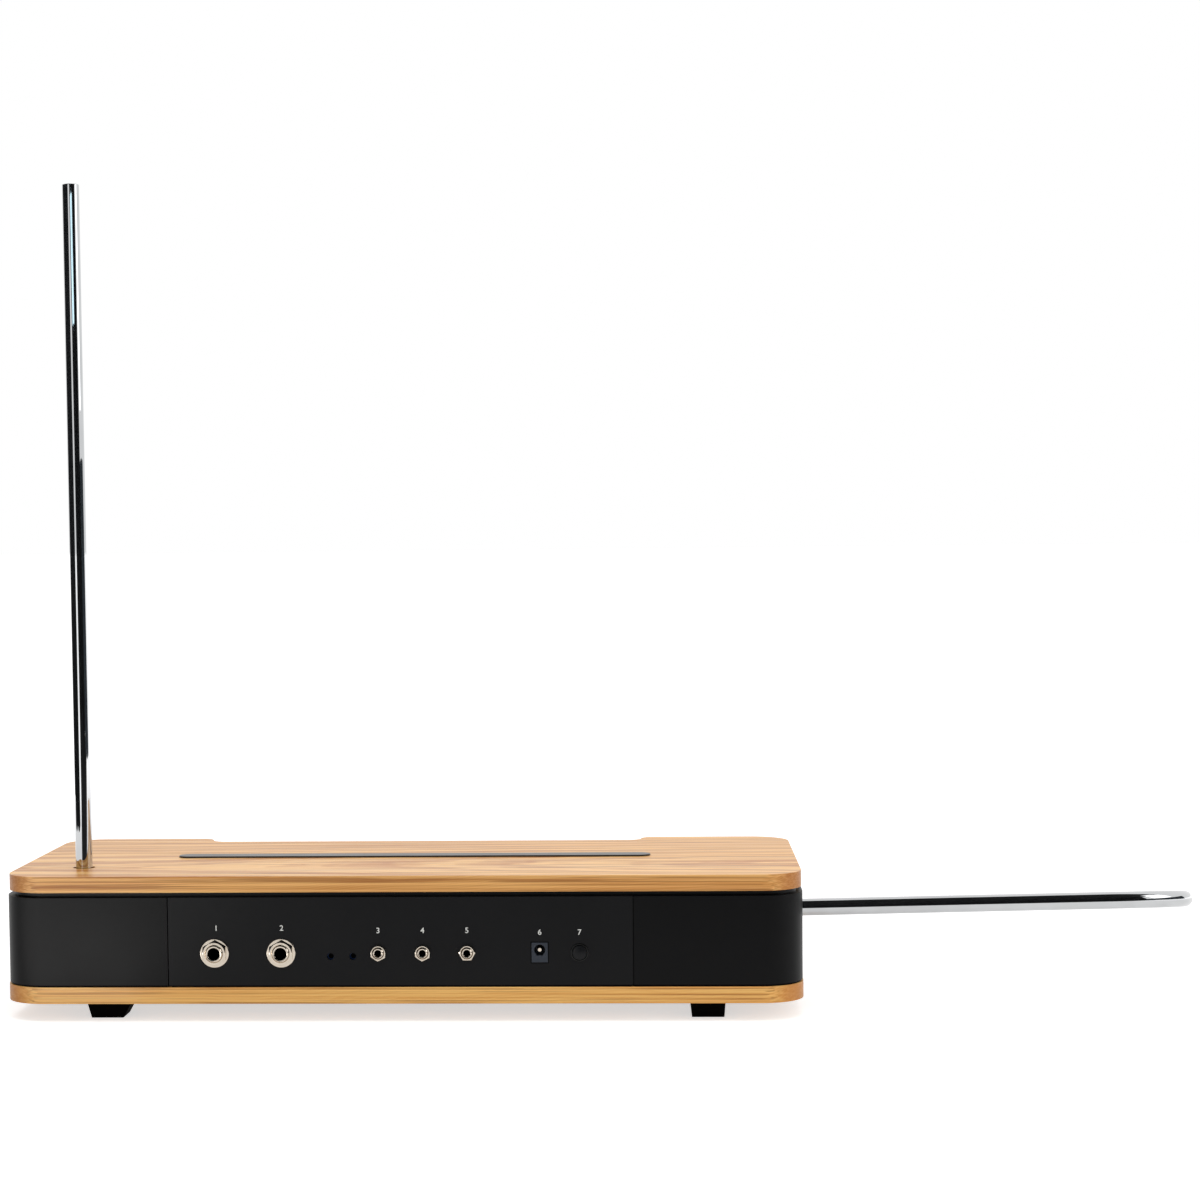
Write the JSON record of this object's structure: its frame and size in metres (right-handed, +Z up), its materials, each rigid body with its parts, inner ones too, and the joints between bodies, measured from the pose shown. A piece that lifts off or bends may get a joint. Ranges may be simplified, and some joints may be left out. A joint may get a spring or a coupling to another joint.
{
  "type": "theremin",
  "caption": "Low wood and black cabinet with an upright pitch rod, a level volume loop, front knobs and a rear connector panel.",
  "frame": {"origin": "mouth of the stand thread, in the middle of the cabinet's underside", "axes": "+Z up; +X towards the end with the pitch rod, the volume loop lies at -X; +Y towards the rear connector panel, the knobs face -Y"},
  "size_m": [0.6742, 0.1916, 0.4675],
  "materials": {
    "ash": "satin oiled ash with open grain",
    "black_shell": "fine matt black",
    "black_panel": "matt black powder coat",
    "inlay": "satin dark grey",
    "rubber": "matt",
    "brass": "turned",
    "steel": "zinc plated",
    "nickel": "bright nickel plate",
    "chrome": "polished",
    "circuit_board": "green solder mask",
    "component_black": "moulded",
    "trimmer_blue": "moulded",
    "knob_black": "satin black",
    "cable_grey": "flexible",
    "copper": "enamelled copper wire",
    "wire_red": "flexible"
  },
  "bodies": {
    "cabinet": {"top_board": "ash", "top_inlay": "inlay", "deck_plate": "black_shell", "thread_inserts": "brass", "side_shell_pitch": "black_shell", "side_shell_volume": "black_shell", "rear_panel": "black_panel", "front_panel": "black_panel", "panel_nuts": "steel", "bottom_board": "ash", "case_screws": "steel", "foot_rear_pitch": "rubber", "foot_rear_volume": "rubber", "foot_front_pitch": "rubber", "foot_front_volume": "rubber", "foot_screws": "steel", "stand_bush": "steel", "stand_bush_screws": "steel", "main_board": "circuit_board", "standoffs": "brass", "board_screws": "steel", "board_parts": "component_black", "audio_jack": "component_black", "mute_jack": "component_black", "jack_washers": "nickel", "jack_nuts": "nickel", "pitch_cv_jack": "component_black", "volume_cv_jack": "component_black", "gate_jack": "component_black", "cv_jack_nuts": "nickel", "dc_inlet": "component_black", "dc_pin": "brass", "power_switch": "component_black", "power_bezel": "component_black", "trimmers": "trimmer_blue", "pots": "steel", "pot_nuts": "nickel", "control_board": "circuit_board", "ribbon_cable": "cable_grey", "pitch_socket": "brass", "volume_socket": "brass", "volume_bracket": "steel", "coil_boards": "circuit_board", "pitch_coils": "copper", "volume_coils": "copper", "antenna_leads": "wire_red"},
    "pitch_antenna": {"pitch_antenna": "chrome"},
    "volume_swivel": {"volume_sleeve": "brass"},
    "volume_antenna": {"volume_antenna": "chrome"},
    "power_button": {"power_button": "knob_black"},
    "trimmer_left": {"trimmer_rotor_left": "component_black"},
    "trimmer_right": {"trimmer_rotor_right": "component_black"},
    "pitch_knob": {"pitch_knob": "knob_black", "pitch_shaft": "steel"},
    "volume_knob": {"volume_knob": "knob_black", "volume_shaft": "steel"},
    "waveform_knob": {"waveform_knob": "knob_black", "waveform_shaft": "steel"},
    "brightness_knob": {"brightness_knob": "knob_black", "brightness_shaft": "steel"}
  },
  "joints": [
    {"name": "pitch_knob_turn", "type": "hinge", "parent": "cabinet", "child": "pitch_knob", "pos_m": [0.084, -0.077, 0.03425], "axis": [0, 1, 0], "range_deg": [-150, 150]},
    {"name": "volume_knob_turn", "type": "hinge", "parent": "cabinet", "child": "volume_knob", "pos_m": [0.028, -0.077, 0.03425], "axis": [0, 1, 0], "range_deg": [-150, 150]},
    {"name": "waveform_knob_turn", "type": "hinge", "parent": "cabinet", "child": "waveform_knob", "pos_m": [-0.028, -0.077, 0.03425], "axis": [0, 1, 0], "range_deg": [-150, 150]},
    {"name": "brightness_knob_turn", "type": "hinge", "parent": "cabinet", "child": "brightness_knob", "pos_m": [-0.084, -0.077, 0.03425], "axis": [0, 1, 0], "range_deg": [-150, 150]},
    {"name": "trimmer_left_turn", "type": "hinge", "parent": "cabinet", "child": "trimmer_left", "pos_m": [0.0385, 0.0904, 0.0263], "axis": [0, -1, 0], "range_deg": [-130, 130]},
    {"name": "trimmer_right_turn", "type": "hinge", "parent": "cabinet", "child": "trimmer_right", "pos_m": [0.0261, 0.0904, 0.0263], "axis": [0, -1, 0], "range_deg": [-130, 130]},
    {"name": "power_button_press", "type": "slide", "parent": "cabinet", "child": "power_button", "axis": [0, -1, 0], "range_m": [0, 0.002], "stiffness_N_per_m": 400},
    {"name": "pitch_antenna_pull", "type": "slide", "parent": "cabinet", "child": "pitch_antenna", "axis": [0, 0, 1], "range_m": [0, 0.046]},
    {"name": "volume_antenna_swivel", "type": "hinge", "parent": "cabinet", "child": "volume_swivel", "pos_m": [-0.223, 0.0496, 0.0468], "axis": [-0.9998, 0, 0.0192], "range_deg": [-20, 97]},
    {"name": "volume_antenna_pull", "type": "slide", "parent": "volume_swivel", "child": "volume_antenna", "axis": [-0.9998, 0, 0.0192], "range_m": [0, 0.04]}
  ]
}
